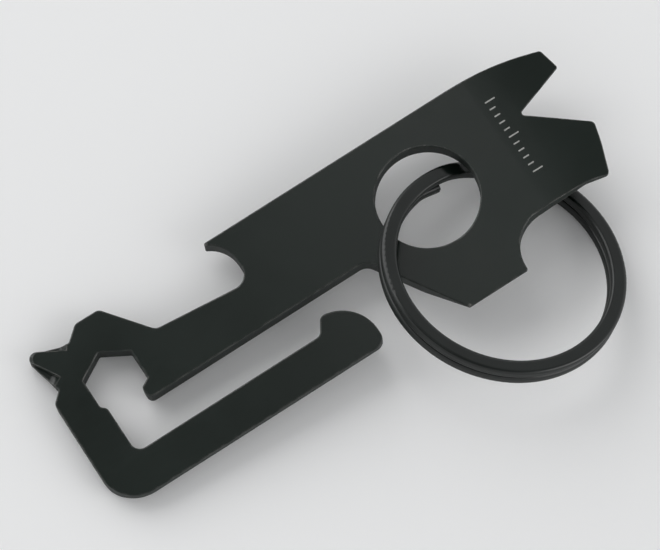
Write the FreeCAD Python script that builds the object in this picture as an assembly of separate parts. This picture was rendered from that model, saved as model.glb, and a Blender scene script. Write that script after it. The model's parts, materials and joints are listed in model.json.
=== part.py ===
import FreeCAD, Part
import os
from math import cos, radians, sin, tan

# A one-piece keychain tool and the split ring that hangs in its hole, in millimetres.
# The tool is drawn flat first: X runs along its body towards the pry end, Y towards the
# bottle opener's side, Z out of its middle plane, and the origin is the ring hole's centre.
# Both pieces are then laid down on z = 0 as they rest on a table.

# Driving dimensions of the tool
thickness = 2.4            # steel plate
edge_round = 0.15          # tumbled edges of both faces
ring_hole_diameter = 12.2
hex_across_flats = 6.45    # takes a 6.35 mm (1/4 inch) driver bit
hex_x = -41.5
hex_y = 1.6
left_end_x = -49.0
spine_y = 9.6              # straight back of the tool
body_low_y = -2.5          # upper side of the clip's slot
clip_inner_y = -7.05       # lower side of the clip's slot
clip_outer_y = -11.9

# Pry end: two prongs beside a V notch, ground thin from both faces.
# Each grind is an arc through three places along X, each with its depth into the face.
pry_end_x = 21.0
notch_apex = (14.25, 2.46)
notch_upper_slope = 0.35
notch_lower_slope = -0.78
upper_grind = [(10.9, 0.0), (16.5, 0.2), (23.0, 0.78)]
lower_grind = [(5.0, 0.0), (13.0, 0.85), (23.0, 1.5)]
notch_bevel_width = 3.0        # where the bevel meets the level of the lower face
notch_edge_thickness = 0.2
notch_slope_deg = 3.6          # slope of the upper face beside the notch
notch_edge_inset = -0.02       # the bevel stops just short of the notch's own sides
notch_cutter_reach = 8.0       # past the prongs' tips

# Flat driver corner: a chisel edge along X, ground from below
chisel_y = -13.7
chisel_left_x = -3.2
chisel_right_x = 4.85
chisel_bevel_length = 5.2
chisel_edge_thickness = 0.25

# Cross driver tip: it points to the upper left, with a flute on each side of its rib
driver_tip_x = -48.95
driver_tip_y = 9.85
driver_axis_deg = 135.0
driver_tip_round = 0.8
flute_length = 3.9             # from the point to where the cutter starts to run out
flute_depth = 0.8
flute_width = 6.0              # past the side of the driver
flute_run_out_radius = 1.2
rib_half_width = 0.3           # at the point
rib_flare_deg = 15.0           # the rib widens towards the body
point_half_angle_deg = 33.0
point_cone_start = -0.6        # the cone's own apex, before the rounded point
point_cone_margin = 0.5        # the cone runs on past where it leaves the faces
point_cone_width = 8.0

# Split ring: flat wire wound twice, with a joggle between the turns
ring_outer_radius = 14.5
wire_width = 1.85
wire_height = 1.25
turn_gap = 0.02
wire_round = 0.42
joggle_start_deg = 133.0       # round the ring, from the side away from the hole
joggle_end_deg = 167.0
end_gap_deg = 1.5              # between a wire end and the joggle beside it
tuck_sweep_deg = 14.0          # the lower wire end bends inwards over this stretch
tuck_depth = 0.35
shift_sections = 12            # cross-sections along the joggle and along the tuck

# How the ring sits in the hole, and how the tool lies on the table
ring_centre_distance = 12.0    # from the hole's centre, in the plate
ring_direction_deg = -77.65    # from the hole's centre, in the plate
ring_axis_height = 0.2         # above the plate's middle plane
ring_rest_deg = 21.7           # the ring's tilt to the plate
lean_deg = 4.51                # the plate's tilt to the table: its left end and the ring touch

half = thickness / 2
wire_radius = ring_outer_radius - wire_width / 2
FAR = 60.0                     # past every side of the tool
CLEAR = 1.0                    # how far a cutter stands out of the plate


def point(x, y, z=0.0):
    """A place in the tool's own frame."""
    return FreeCAD.Vector(x, y, z)


def rounded_wire(corners):
    """Closed wire through the corners (x, y, radius), with each corner rounded off."""
    count = len(corners)
    starts = []
    ends = []
    arcs = []
    for i, (x, y, radius) in enumerate(corners):
        here = point(x, y)
        back = (point(*corners[i - 1][:2]) - here).normalize()
        ahead = (point(*corners[(i + 1) % count][:2]) - here).normalize()
        half_angle = back.getAngle(ahead) / 2
        reach = radius / tan(half_angle)
        middle = (back + ahead).normalize()
        starts.append(here + back * reach)
        ends.append(here + ahead * reach)
        arcs.append(here + middle * (radius / sin(half_angle) - radius))
    edges = []
    for i in range(count):
        edges.append(Part.Arc(starts[i], arcs[i], ends[i]).toShape())
        edges.append(Part.makeLine(ends[i], starts[(i + 1) % count]))
    return Part.Wire(edges)


def hex_corner(angle_deg, radius=0.25):
    """Corner of the hex opening, at this angle from its centre."""
    reach = hex_across_flats / 2 / cos(radians(30))
    angle = radians(angle_deg)
    return (hex_x + reach * cos(angle), hex_y + reach * sin(angle), radius)


def opener_notch():
    """Corners of the bottle opener's throat, from the neck up to the tooth's tip."""
    return [(-22.3, 2.87, 1.9), (-22.3, 8.05, 4.0), (-25.1, spine_y, 0.2)]


def pry_end():
    """Corners of the gently bent back, the two prongs and the V notch between them."""
    apex_x, apex_y = notch_apex
    upper_y = apex_y + notch_upper_slope * (pry_end_x + 0.3 - apex_x)
    lower_y = apex_y + notch_lower_slope * (pry_end_x + 0.1 - apex_x)
    return [(14.3, spine_y, 39.0), (pry_end_x - 0.3, 7.74, 0.45), (pry_end_x + 0.3, upper_y, 0.35),
            (apex_x, apex_y, 0.35), (pry_end_x + 0.1, lower_y, 0.6), (20.42, -5.4, 12.0),
            (19.02, -9.15, 0.5), (16.2, -8.5, 3.0), (5.0, -8.55, 4.85)]


def chisel_corner():
    """Corners of the flat driver and the flank that leads back to the body."""
    return [(chisel_right_x, chisel_y, 0.35), (chisel_left_x, chisel_y, 0.2), (-10.15, body_low_y, 1.6)]


def hex_and_slot():
    """Corners from the slot's upper side, round the open hex, to the slot's lower side."""
    return [(-39.5, body_low_y, 0.75), (-39.5, -0.93, 0.45), hex_corner(-30), hex_corner(30),
            hex_corner(90), hex_corner(150), hex_corner(210, 0.5), (-44.1, -0.8, 0.7),
            (-44.1, clip_inner_y, 1.2)]


def clip_arm():
    """Corners of the clip's raised end and of its outer side."""
    return [(-19.3, clip_inner_y, 0.9), (-18.0, -5.05, 0.85), (-13.15, -6.1, 4.9),
            (-13.4, clip_outer_y, 1.3), (-46.4, clip_outer_y, 4.3), (left_end_x, -9.3, 4.3)]


def driver_and_neck():
    """Corners of the cross driver, the shoulder over the hex and the neck."""
    return [(left_end_x + 0.1, 2.85, 0.8), (-47.55, 4.15, 0.35),
            (driver_tip_x, driver_tip_y, driver_tip_round), (-43.75, 8.13, 0.4),
            (-41.95, 9.68, 0.9), (-38.8, 9.65, 0.9), (-34.5, 4.06, 1.3)]


def plate_blank():
    """The cut plate with its ring hole, and rounded edges on both faces."""
    corners = (opener_notch() + pry_end() + chisel_corner() + hex_and_slot()
               + clip_arm() + driver_and_neck())
    outline = Part.Face(rounded_wire(corners))
    hole = Part.Face(Part.Wire(Part.makeCircle(ring_hole_diameter / 2)))
    blank = outline.cut(hole).extrude(point(0, 0, thickness))
    blank.translate(point(0, 0, -half))
    rims = [edge for edge in blank.Edges if abs(abs(edge.CenterOfMass.z) - half) < 1e-6]
    return blank.makeFillet(edge_round, rims)


def swept_profile(edges, direction):
    """Solid swept along the direction by the face inside these edges."""
    return Part.Face(Part.Wire(edges)).extrude(direction)


def pry_grind(places, face):
    """Cutter that grinds the pry end on the upper face (1) or the lower face (-1)."""
    start, middle, end = [point(x, -FAR, face * (half - depth)) for x, depth in places]
    far_end = point(end.x, -FAR, face * FAR)
    far_start = point(start.x, -FAR, face * FAR)
    profile = [Part.Arc(start, middle, end).toShape(), Part.makeLine(end, far_end),
               Part.makeLine(far_end, far_start), Part.makeLine(far_start, start)]
    return swept_profile(profile, point(0, 2 * FAR, 0))


def chisel_grind():
    """Cutter for the flat bevel under the chisel edge."""
    edge_height = half - chisel_edge_thickness
    rise = (thickness - chisel_edge_thickness) / chisel_bevel_length
    past = point(-FAR, chisel_y - CLEAR, edge_height + rise * CLEAR)
    heel = point(-FAR, chisel_y + chisel_bevel_length + CLEAR, -half - rise * CLEAR)
    under = point(-FAR, chisel_y - CLEAR, -half - rise * CLEAR)
    profile = [Part.makeLine(past, heel), Part.makeLine(heel, under), Part.makeLine(under, past)]
    return swept_profile(profile, point(2 * FAR, 0, 0))


def notch_outline(offset, height):
    """Triangle over the V notch, grown by the offset, at this height."""
    apex_x, apex_y = notch_apex
    right = pry_end_x + notch_cutter_reach
    upper = offset * (1 + notch_upper_slope ** 2) ** 0.5
    lower = offset * (1 + notch_lower_slope ** 2) ** 0.5
    shift = (upper + lower) / (notch_upper_slope - notch_lower_slope)
    grown = point(apex_x - shift, apex_y + upper - notch_upper_slope * shift, height)
    top = point(right, grown.y + notch_upper_slope * (right - grown.x), height)
    bottom = point(right, grown.y + notch_lower_slope * (right - grown.x), height)
    return Part.makePolygon([grown, top, bottom, grown])


def notch_bevel():
    """Cutter that sharpens both sides of the V notch from below."""
    edge_height = half - notch_edge_thickness
    narrow = notch_outline(notch_edge_inset, edge_height)
    wide = notch_outline(notch_bevel_width, -half)
    bevel = Part.makeLoft([narrow, wide], True)
    bevel.rotate(point(*notch_apex, half), point(0, 1, 0), notch_slope_deg)
    return bevel


def to_driver(shape):
    """Turns a shape drawn from the point along +X, so that it lies on the driver's axis."""
    placed = shape.copy()
    placed.rotate(point(0, 0), point(0, 0, 1), driver_axis_deg - 180)
    placed.translate(point(driver_tip_x, driver_tip_y))
    return placed


def driver_flute(face, side):
    """Cutter for one flute of the cross driver, on one face and one side of the rib."""
    floor = half - flute_depth
    before = 2 * CLEAR
    box = Part.makeBox(before + flute_length, flute_width, flute_depth + CLEAR, point(-before, 0, floor))
    run_out = Part.makeCylinder(flute_run_out_radius, flute_width,
                                point(flute_length, 0, floor + flute_run_out_radius), point(0, 1, 0))
    flute = box.fuse(run_out)
    flute.rotate(point(0, 0), point(0, 0, 1), rib_flare_deg)
    flute.translate(point(0, rib_half_width, 0))
    if side < 0:
        flute = flute.mirror(point(0, 0), point(0, 1, 0))
    if face < 0:
        flute = flute.mirror(point(0, 0), point(0, 0, 1))
    return to_driver(flute)


def point_cone():
    """Cutter that tapers the driver's rib towards the point."""
    spread = tan(radians(point_half_angle_deg))
    length = half / spread + point_cone_margin - point_cone_start
    corner = point(point_cone_start - CLEAR, -point_cone_width / 2, -half - CLEAR)
    block = Part.makeBox(length + CLEAR, point_cone_width, thickness + 2 * CLEAR, corner)
    cone = Part.makeCone(0.0, length * spread, length, point(point_cone_start, 0), point(1, 0))
    return to_driver(block.cut(cone))


def opener_plate():
    """The whole tool: the cut plate with its grinds, its sharpened notch and its cross driver."""
    plate = plate_blank()
    plate = plate.cut(pry_grind(upper_grind, 1))
    plate = plate.cut(pry_grind(lower_grind, -1))
    plate = plate.cut(chisel_grind())
    plate = plate.cut(notch_bevel())
    for face in (1, -1):
        for side in (1, -1):
            plate = plate.cut(driver_flute(face, side))
    return plate.cut(point_cone()).Solids[0]


def wire_section(radius, height, angle_deg):
    """Rounded cross-section of the ring's wire, at this radius, height and angle."""
    low = radius - wire_width / 2
    high = radius + wire_width / 2
    under = height - wire_height / 2
    over = height + wire_height / 2
    corners = [(low, under), (high, under), (high, over), (low, over)]
    outline = rounded_wire([(x, y, wire_round) for x, y in corners])
    outline.rotate(point(0, 0), point(1, 0, 0), 90)
    outline.rotate(point(0, 0), point(0, 0, 1), angle_deg)
    return outline


def level_turn(start_deg, end_deg, height):
    """Stretch of wire that keeps its height and radius."""
    section = Part.Face(wire_section(wire_radius, height, start_deg))
    return section.revolve(point(0, 0), point(0, 0, 1), end_deg - start_deg)


def shifted_turn(start_deg, end_deg, heights, radii):
    """Stretch of wire that eases from one height and radius to another."""
    sections = []
    for i in range(shift_sections):
        part = i / (shift_sections - 1)
        eased = part * part * (3 - 2 * part)
        height = heights[0] + (heights[1] - heights[0]) * eased
        radius = radii[0] + (radii[1] - radii[0]) * eased
        sections.append(wire_section(radius, height, start_deg + (end_deg - start_deg) * part))
    return Part.makeLoft(sections, True)


def split_ring():
    """The ring lying flat round the origin, with the hole's side towards -X."""
    level = (wire_height + turn_gap) / 2
    tuck_start = joggle_end_deg - 360 + end_gap_deg
    tuck_end = tuck_start + tuck_sweep_deg
    tucked = wire_radius - tuck_depth
    lower = level_turn(tuck_end, joggle_start_deg, -level)
    joggle = shifted_turn(joggle_start_deg, joggle_end_deg, (-level, level), (wire_radius, wire_radius))
    upper = level_turn(joggle_end_deg, joggle_start_deg + 360 - end_gap_deg, level)
    tuck = shifted_turn(tuck_start, tuck_end, (-level, -level), (tucked, wire_radius))
    return lower.fuse([joggle, upper, tuck]).removeSplitter().Solids[0]


def hang(ring, tilt_deg):
    """Puts the flat ring through the tool's hole, tilted to the plate by this angle."""
    placed = ring.copy()
    placed.rotate(point(0, 0), point(1, 0, 0), -tilt_deg)
    placed.translate(point(ring_centre_distance, 0, ring_axis_height))
    placed.rotate(point(0, 0), point(0, 0, 1), ring_direction_deg)
    return placed


def lay_down(shapes):
    """Leans the assembly on its left end and the ring, with its box's base centred on the origin."""
    for shape in shapes:
        shape.rotate(point(0, 0), point(0, 1, 0), -lean_deg)
    box = Part.makeCompound(shapes).optimalBoundingBox(False, False)
    for shape in shapes:
        shape.translate(point(-box.Center.x, -box.Center.y, -box.ZMin))
    return shapes


def main():
    os.makedirs("parts", exist_ok=True)
    plate = opener_plate()
    ring = hang(split_ring(), ring_rest_deg)
    plate, ring = lay_down([plate, ring])
    print("gap between plate and ring", round(plate.distToShape(ring)[0], 3))
    plate.exportStep("parts/opener_plate.step")
    ring.exportStep("parts/split_ring.step")


main()
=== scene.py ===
import json
import math

import bmesh
import bpy
from mathutils import Matrix, Vector
from mathutils.bvhtree import BVHTree


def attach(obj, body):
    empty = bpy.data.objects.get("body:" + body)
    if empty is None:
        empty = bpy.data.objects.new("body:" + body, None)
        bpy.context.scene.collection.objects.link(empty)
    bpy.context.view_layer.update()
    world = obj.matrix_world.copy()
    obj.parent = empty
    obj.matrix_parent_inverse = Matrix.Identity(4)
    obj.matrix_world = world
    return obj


MM = 0.001

# How the tool lies, as in the CAD: the plate's lean, and the ring in its hole
LEAN = math.radians(4.51)
RING_DIRECTION = math.radians(-77.65)
RING_TILT = math.radians(21.7)
RING_CENTRE_DISTANCE = 12.0 * MM
PIVOT_HEIGHT = 0.2 * MM      # the ring's swing axis above the plate's middle plane

# Camera: a long lens that looks down on the tool, a little off its upright
AIM = Vector((-0.57, 6.68, 5.0)) * MM
CAMERA_AZIMUTH = math.radians(-126.69)
CAMERA_ELEVATION = math.radians(71.30)
CAMERA_ROLL = math.radians(4.02)
CAMERA_DISTANCE = 0.498
LENS_MM = 237.15

# Light
HORIZON_LIGHT = 0.95
OVERHEAD_LIGHT = 0.27
LIGHT_DISTANCE = 0.9
FLOOR_REACH = 2.0            # from the tool to each side of the floor

# Colours are linear
COATING_DARK = (0.0008, 0.0050, 0.0026)
COATING_LIGHT = (0.0024, 0.0076, 0.0048)
# Pale edge colour: partly worn steel, partly a painted highlight along the edges
WORN_STEEL_AND_EDGE_HIGHLIGHT = (0.210, 0.204, 0.194)
OXIDE_DARK = (0.0010, 0.0028, 0.0018)
OXIDE_LIGHT = (0.0028, 0.0054, 0.0042)
ETCH_GREY = (0.42, 0.42, 0.40)
FLOOR_WHITE = (0.92, 0.92, 0.92)

# How much rougher a cut or drawn wall is than the faces beside it
PLATE_WALL_DULLNESS = 0.42
RING_WALL_DULLNESS = 0.34

# Bump depths
GRAIN_DEPTH = 0.0012 * MM
RUB_DEPTH = 0.0005 * MM
CUT_LINE_DEPTH = 0.008 * MM
RING_GRAIN_DEPTH = 0.0006 * MM
DRAW_LINE_DEPTH = 0.0012 * MM
HATCH_DEPTH = 0.002 * MM

# How wide the pale band on an edge is: on the plate partly worn steel and partly painted highlight, on the
# ring a painted highlight
PLATE_EDGE_WEAR_AND_HIGHLIGHT = 0.22 * MM
RING_EDGE_HIGHLIGHT = 0.15 * MM

# Etched scale on the pry end, along the tool's own X and Y from the ring hole's centre
SCALE_START = (11.75 * MM, -4.2 * MM)
SCALE_STEP = 1.0 * MM
SCALE_TICKS = 11
LONG_TICK = 1.35 * MM
SHORT_TICK = 0.8 * MM
TICK_WIDTH = 0.17 * MM
TICK_HEIGHT = 0.006 * MM

TICK_SIDES = 24            # points round a tick's outline
TICK_SHOULDER = 0.7        # how high the tick's wall goes before its rounded rim
TICK_TOP = 0.8             # the flat top's size beside the outline's
TICK_DROP = 5.0 * MM       # how far above the plate a tick's points are dropped from

to_row = Matrix.Rotation(-LEAN, 4, "Y")


def new_material(name):
    """A material with an empty node tree, and its shader."""
    material = bpy.data.materials.new(name)
    material.use_nodes = True
    tree = material.node_tree
    tree.nodes.clear()
    shader = tree.nodes.new("ShaderNodeBsdfPrincipled")
    output = tree.nodes.new("ShaderNodeOutputMaterial")
    tree.links.new(shader.outputs["BSDF"], output.inputs["Surface"])
    return material, tree, shader


def noise(tree, coordinates, scale, detail=2.0, roughness=0.5):
    """A noise texture's value, read at the given coordinates in metres."""
    node = tree.nodes.new("ShaderNodeTexNoise")
    node.inputs["Scale"].default_value = scale
    node.inputs["Detail"].default_value = detail
    node.inputs["Roughness"].default_value = roughness
    tree.links.new(coordinates, node.inputs["Vector"])
    return node.outputs["Fac"]


def stretched(tree, coordinates, scale, turn_deg=0.0):
    """Coordinates scaled differently along each axis, for grain that runs one way."""
    node = tree.nodes.new("ShaderNodeMapping")
    node.inputs["Scale"].default_value = scale
    node.inputs["Rotation"].default_value = (0.0, 0.0, math.radians(turn_deg))
    tree.links.new(coordinates, node.inputs["Vector"])
    return node.outputs["Vector"]


def remap(tree, value, old, new):
    """A value moved from one range to another and held inside it."""
    node = tree.nodes.new("ShaderNodeMapRange")
    node.inputs["From Min"].default_value = old[0]
    node.inputs["From Max"].default_value = old[1]
    node.inputs["To Min"].default_value = new[0]
    node.inputs["To Max"].default_value = new[1]
    tree.links.new(value, node.inputs["Value"])
    return node.outputs["Result"]


def mixed_colour(tree, amount, first, second):
    """A colour between two colours, each a colour or another node's output."""
    node = tree.nodes.new("ShaderNodeMix")
    node.data_type = "RGBA"
    tree.links.new(amount, node.inputs["Factor"])
    for name, colour in (("A", first), ("B", second)):
        socket = next(s for s in node.inputs if s.name == name and s.type == "RGBA")
        if isinstance(colour, tuple):
            socket.default_value = (*colour, 1.0)
        else:
            tree.links.new(colour, socket)
    return next(s for s in node.outputs if s.type == "RGBA")


def combined(tree, operation, first, second):
    """Two values joined by a maths node, where the second may be a plain number."""
    node = tree.nodes.new("ShaderNodeMath")
    node.operation = operation
    tree.links.new(first, node.inputs[0])
    if isinstance(second, float):
        node.inputs[1].default_value = second
    else:
        tree.links.new(second, node.inputs[1])
    return node.outputs["Value"]


def ring_axes():
    """The ring's own axes at rest, with Z along the axis that its wire is wound round."""
    return to_row @ Matrix.Rotation(RING_DIRECTION, 4, "Z") @ Matrix.Rotation(-RING_TILT, 4, "X")


def off_the_faces(tree, axes):
    """0 on the two faces that look along these axes' Z, and near 1 on the walls between them."""
    upright = axes @ Vector((0.0, 0.0, 1.0))
    normal = tree.nodes.new("ShaderNodeTexCoord").outputs["Normal"]
    dot = tree.nodes.new("ShaderNodeVectorMath")
    dot.operation = "DOT_PRODUCT"
    dot.inputs[1].default_value = upright
    tree.links.new(normal, dot.inputs[0])
    flatness = tree.nodes.new("ShaderNodeMath")
    flatness.operation = "ABSOLUTE"
    tree.links.new(dot.outputs["Value"], flatness.inputs[0])
    return remap(tree, flatness.outputs["Value"], (0.85, 0.35), (0.0, 1.0))


def edge_mask(tree, radius):
    """Near 1 on outside and inside edges, and 0 on flat faces."""
    bevel = tree.nodes.new("ShaderNodeBevel")
    bevel.inputs["Radius"].default_value = radius
    geometry = tree.nodes.new("ShaderNodeNewGeometry")
    dot = tree.nodes.new("ShaderNodeVectorMath")
    dot.operation = "DOT_PRODUCT"
    tree.links.new(bevel.outputs["Normal"], dot.inputs[0])
    tree.links.new(geometry.outputs["Normal"], dot.inputs[1])
    return remap(tree, dot.outputs["Value"], (0.995, 0.86), (0.0, 1.0))


def bump(tree, shader, heights):
    """Stacks bumps of (height, depth in metres) on the shader's normal."""
    normal = None
    for height, depth in heights:
        node = tree.nodes.new("ShaderNodeBump")
        node.inputs["Strength"].default_value = 1.0
        node.inputs["Distance"].default_value = depth
        tree.links.new(height, node.inputs["Height"])
        if normal is not None:
            tree.links.new(normal, node.inputs["Normal"])
        normal = node.outputs["Normal"]
    tree.links.new(normal, shader.inputs["Normal"])


def plate_coating():
    """Satin black coating over tumbled steel: fine grain, faint rubbing, thin wear at the edges that is also
    made pale as a painted edge highlight.
    """
    material, tree, shader = new_material("coated_plate")
    place = tree.nodes.new("ShaderNodeTexCoord").outputs["Object"]
    cloud = noise(tree, place, 90.0, 3.0)
    grain = noise(tree, place, 9000.0, 2.0, 0.6)
    rubbed = noise(tree, stretched(tree, place, (260.0, 5200.0, 5200.0), 4.0), 1.0, 3.0, 0.7)
    walls = off_the_faces(tree, to_row)
    cut_lines = noise(tree, stretched(tree, place, (5200.0, 5200.0, 300.0)), 1.0, 2.0, 0.6)
    cut = combined(tree, "MULTIPLY", walls, cut_lines)
    # Painted highlight in part: the edge band is worn steel made pale enough to stand for the lines of light
    # along the plate's rounded edges
    edges = edge_mask(tree, PLATE_EDGE_WEAR_AND_HIGHLIGHT)
    patchy = remap(tree, noise(tree, place, 900.0, 4.0), (0.38, 0.62), (0.1, 1.0))
    wear_and_highlight = combined(tree, "MULTIPLY", edges, patchy)
    tone = remap(tree, cloud, (0.35, 0.65), (0.0, 1.0))
    black = mixed_colour(tree, tone, COATING_DARK, COATING_LIGHT)
    tree.links.new(mixed_colour(tree, wear_and_highlight, black, WORN_STEEL_AND_EDGE_HIGHLIGHT), shader.inputs["Base Color"])
    unevenness = combined(tree, "MULTIPLY", combined(tree, "ADD", cloud, rubbed), 0.5)
    face_roughness = remap(tree, unevenness, (0.3, 0.7), (0.18, 0.26))
    roughness = combined(tree, "ADD", face_roughness, combined(tree, "MULTIPLY", walls, PLATE_WALL_DULLNESS))
    tree.links.new(roughness, shader.inputs["Roughness"])
    shader.inputs["Specular IOR Level"].default_value = 0.5
    bump(tree, shader, [(grain, GRAIN_DEPTH), (rubbed, RUB_DEPTH), (cut, CUT_LINE_DEPTH)])
    return material


def along_the_wire(tree, place):
    """Coordinates of (radius, angle, height) round the ring, in place of X, Y and Z."""
    pivot = Vector(frame["joints"][0]["pos_m"])
    turn = ring_axes()
    local = tree.nodes.new("ShaderNodeMapping")
    local.vector_type = "TEXTURE"
    local.inputs["Location"].default_value = pivot + turn @ Vector((RING_CENTRE_DISTANCE, 0.0, 0.0))
    local.inputs["Rotation"].default_value = turn.to_euler()
    tree.links.new(place, local.inputs["Vector"])
    parts = tree.nodes.new("ShaderNodeSeparateXYZ")
    tree.links.new(local.outputs["Vector"], parts.inputs["Vector"])
    x, y, z = (parts.outputs[name] for name in "XYZ")
    squares = combined(tree, "ADD", combined(tree, "MULTIPLY", x, x), combined(tree, "MULTIPLY", y, y))
    around = tree.nodes.new("ShaderNodeCombineXYZ")
    tree.links.new(combined(tree, "POWER", squares, 0.5), around.inputs["X"])
    tree.links.new(combined(tree, "ARCTAN2", y, x), around.inputs["Y"])
    tree.links.new(z, around.inputs["Z"])
    return around.outputs["Vector"]


def ring_oxide():
    """Black oxide on drawn wire: glossy on its rolled faces, duller on its sides, with draw lines and a
    painted highlight in patches along its edges.
    """
    material, tree, shader = new_material("ring_wire")
    place = tree.nodes.new("ShaderNodeTexCoord").outputs["Object"]
    wire = along_the_wire(tree, place)
    cloud = noise(tree, place, 260.0, 3.0)
    grain = noise(tree, place, 7000.0, 2.0, 0.6)
    drawn = noise(tree, stretched(tree, wire, (9000.0, 5.0, 9000.0)), 1.0, 3.0, 0.6)
    # Painted highlight: pale patches on the wire's edges stand in for the bright lines of light along them
    edges = edge_mask(tree, RING_EDGE_HIGHLIGHT)
    patchy = remap(tree, noise(tree, place, 1200.0, 4.0), (0.5, 0.75), (0.0, 0.35))
    wear_and_highlight = combined(tree, "MULTIPLY", edges, patchy)
    tone = remap(tree, cloud, (0.35, 0.65), (0.0, 1.0))
    black = mixed_colour(tree, tone, OXIDE_DARK, OXIDE_LIGHT)
    tree.links.new(mixed_colour(tree, wear_and_highlight, black, WORN_STEEL_AND_EDGE_HIGHLIGHT), shader.inputs["Base Color"])
    walls = off_the_faces(tree, ring_axes())
    face_roughness = remap(tree, drawn, (0.3, 0.7), (0.16, 0.26))
    roughness = combined(tree, "ADD", face_roughness, combined(tree, "MULTIPLY", walls, RING_WALL_DULLNESS))
    tree.links.new(roughness, shader.inputs["Roughness"])
    shader.inputs["Specular IOR Level"].default_value = 0.5
    bump(tree, shader, [(grain, RING_GRAIN_DEPTH), (drawn, DRAW_LINE_DEPTH)])
    return material


def laser_mark():
    """Pale matt laser marking with the fine hatching of the beam."""
    material, tree, shader = new_material("laser_mark")
    place = tree.nodes.new("ShaderNodeTexCoord").outputs["Object"]
    hatch = noise(tree, stretched(tree, place, (3000.0, 26000.0, 3000.0)), 1.0, 2.0)
    tone = remap(tree, hatch, (0.35, 0.65), (0.0, 1.0))
    darker = tuple(0.6 * part for part in ETCH_GREY)
    tree.links.new(mixed_colour(tree, tone, darker, ETCH_GREY), shader.inputs["Base Color"])
    tree.links.new(remap(tree, hatch, (0.3, 0.7), (0.55, 0.75)), shader.inputs["Roughness"])
    bump(tree, shader, [(hatch, HATCH_DEPTH)])
    return material


def coat(node, material):
    """Gives a CAD node its material in place of the plain one."""
    for slot in frame["nodes"][node].material_slots:
        slot.material = material


def tick(marks, surface, origin, x, y, length):
    """Adds one round-ended tick, a thin raised slab that follows the plate's upper face."""
    radius = TICK_WIDTH / 2
    rim = []
    for step in range(TICK_SIDES):
        angle = 2 * math.pi * (step + 0.5) / TICK_SIDES
        shift = length - radius if math.cos(angle) > 0 else radius
        rim.append((x + shift + radius * math.cos(angle), y + radius * math.sin(angle)))
    rings = []
    for height in (-TICK_HEIGHT, TICK_HEIGHT * TICK_SHOULDER, TICK_HEIGHT):
        inset = 1.0 if height < TICK_HEIGHT else TICK_TOP
        ring = []
        for px, py in rim:
            middle_x = min(max(px, x + radius), x + length - radius)
            place = (middle_x + (px - middle_x) * inset, y + (py - y) * inset)
            start = origin + to_row @ Vector((place[0], place[1], TICK_DROP))
            hit = surface.ray_cast(start, to_row @ Vector((0.0, 0.0, -1.0)))
            ring.append(marks.verts.new(hit[0] + to_row @ Vector((0.0, 0.0, height))))
        rings.append(ring)
    for low, high in zip(rings, rings[1:]):
        for i in range(TICK_SIDES):
            marks.faces.new((low[i - 1], low[i], high[i], high[i - 1]))
    marks.faces.new(rings[-1])
    marks.faces.new(list(reversed(rings[0])))


def etched_scale():
    """A row of plain millimetre ticks on the pry end, longer at every fifth."""
    surface = BVHTree.FromObject(frame["nodes"]["opener_plate"], bpy.context.evaluated_depsgraph_get())
    hole_centre = Vector(frame["joints"][0]["pos_m"]) - to_row @ Vector((0.0, 0.0, PIVOT_HEIGHT))
    marks = bmesh.new()
    start_x, start_y = SCALE_START
    for number in range(SCALE_TICKS):
        length = LONG_TICK if number % 5 == 0 else SHORT_TICK
        tick(marks, surface, hole_centre, start_x, start_y + number * SCALE_STEP, length)
    mesh = bpy.data.meshes.new("etched_scale")
    marks.to_mesh(mesh)
    marks.free()
    scale = bpy.data.objects.new("etched_scale", mesh)
    scale.data.materials.append(laser_mark())
    bpy.context.collection.objects.link(scale)
    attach(scale, "opener")


def floor():
    """Large plain pale floor that the tool lies on."""
    material, tree, shader = new_material("floor_white")
    place = tree.nodes.new("ShaderNodeTexCoord").outputs["Object"]
    paper = noise(tree, place, 400.0, 3.0)
    shader.inputs["Base Color"].default_value = (*FLOOR_WHITE, 1.0)
    tree.links.new(remap(tree, paper, (0.3, 0.7), (0.75, 0.85)), shader.inputs["Roughness"])
    mesh = bpy.data.meshes.new("floor")
    corners = [(FLOOR_REACH * x, FLOOR_REACH * y, 0.0) for x, y in ((-1, -1), (1, -1), (1, 1), (-1, 1))]
    mesh.from_pydata(corners, [], [(0, 1, 2, 3)])
    plane = bpy.data.objects.new("floor", mesh)
    plane.data.materials.append(material)
    bpy.context.collection.objects.link(plane)


def soft_light(name, direction, width, depth, power):
    """A soft box that faces the tool from this direction, with its depth along the tool's Y."""
    lamp = bpy.data.lights.new(name, "AREA")
    lamp.shape = "RECTANGLE"
    lamp.size = width
    lamp.size_y = depth
    lamp.energy = power
    light = bpy.data.objects.new(name, lamp)
    toward = Vector(direction).normalized()
    across = Vector((0.0, 1.0, 0.0)).cross(toward).normalized()
    axes = Matrix((across, toward.cross(across), toward)).transposed()
    light.matrix_world = Matrix.Translation(AIM + toward * LIGHT_DISTANCE) @ axes.to_4x4()
    bpy.context.collection.objects.link(light)


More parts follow.
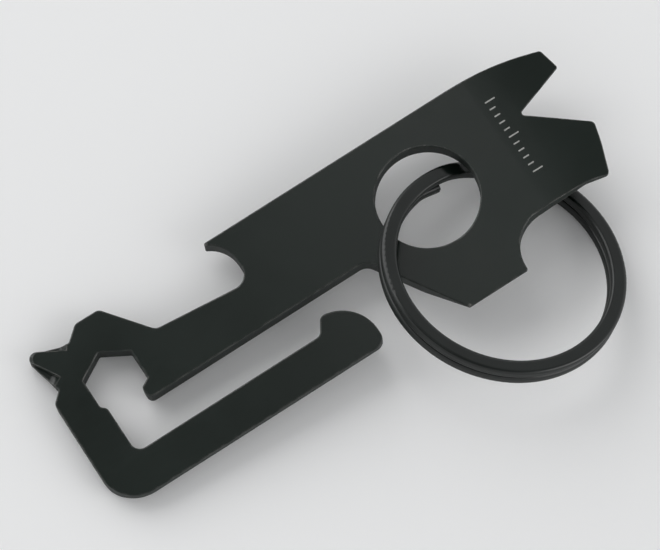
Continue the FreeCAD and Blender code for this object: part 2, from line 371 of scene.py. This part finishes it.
def surroundings():
    """Studio walls: pale near the horizon, darker overhead."""
    world = bpy.data.worlds.new("studio")
    bpy.context.scene.world = world
    world.use_nodes = True
    tree = world.node_tree
    background = tree.nodes["Background"]
    background.inputs["Color"].default_value = (0.98, 0.99, 1.0, 1.0)
    direction = tree.nodes.new("ShaderNodeTexCoord").outputs["Generated"]
    height = tree.nodes.new("ShaderNodeSeparateXYZ")
    tree.links.new(direction, height.inputs["Vector"])
    strength = remap(tree, height.outputs["Z"], (0.3, 0.95), (HORIZON_LIGHT, OVERHEAD_LIGHT))
    tree.links.new(strength, background.inputs["Strength"])


def lights():
    """A large soft box behind the tool, a low one at its side, and a dim strip overhead."""
    soft_light("key", (-0.25, 1.0, 0.7), 0.9, 0.9, 3.8)
    soft_light("side", (0.64, -0.77, 0.36), 0.8, 0.5, 2.2)
    soft_light("strip", (0.10, 0.26, 0.96), 0.05, 0.5, 0.12)


def camera():
    """Camera at the aim point's azimuth, elevation and roll, on a long lens."""
    lens = bpy.data.cameras.new("camera")
    lens.lens = LENS_MM
    lens.sensor_width = 36.0
    lens.clip_end = 10.0
    toward = Vector((math.cos(CAMERA_ELEVATION) * math.cos(CAMERA_AZIMUTH),
                     math.cos(CAMERA_ELEVATION) * math.sin(CAMERA_AZIMUTH),
                     math.sin(CAMERA_ELEVATION)))
    right = Vector((0.0, 0.0, 1.0)).cross(toward).normalized()
    up = toward.cross(right)
    axes = Matrix((right, up, toward)).transposed() @ Matrix.Rotation(CAMERA_ROLL, 3, "Z")
    eye = bpy.data.objects.new("camera", lens)
    eye.matrix_world = Matrix.Translation(AIM + toward * CAMERA_DISTANCE) @ axes.to_4x4()
    bpy.context.collection.objects.link(eye)
    bpy.context.scene.camera = eye


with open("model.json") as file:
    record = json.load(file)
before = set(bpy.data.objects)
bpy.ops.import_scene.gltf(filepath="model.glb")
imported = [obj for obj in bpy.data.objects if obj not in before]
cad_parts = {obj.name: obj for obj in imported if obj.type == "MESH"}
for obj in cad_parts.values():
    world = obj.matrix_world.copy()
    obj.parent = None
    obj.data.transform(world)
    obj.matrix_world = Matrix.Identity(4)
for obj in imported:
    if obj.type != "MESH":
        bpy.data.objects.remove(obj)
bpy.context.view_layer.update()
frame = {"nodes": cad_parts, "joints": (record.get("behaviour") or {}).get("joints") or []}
coat("opener_plate", plate_coating())
coat("split_ring", ring_oxide())
etched_scale()
floor()
surroundings()
lights()
camera()
bpy.context.scene.view_settings.view_transform = "Standard"
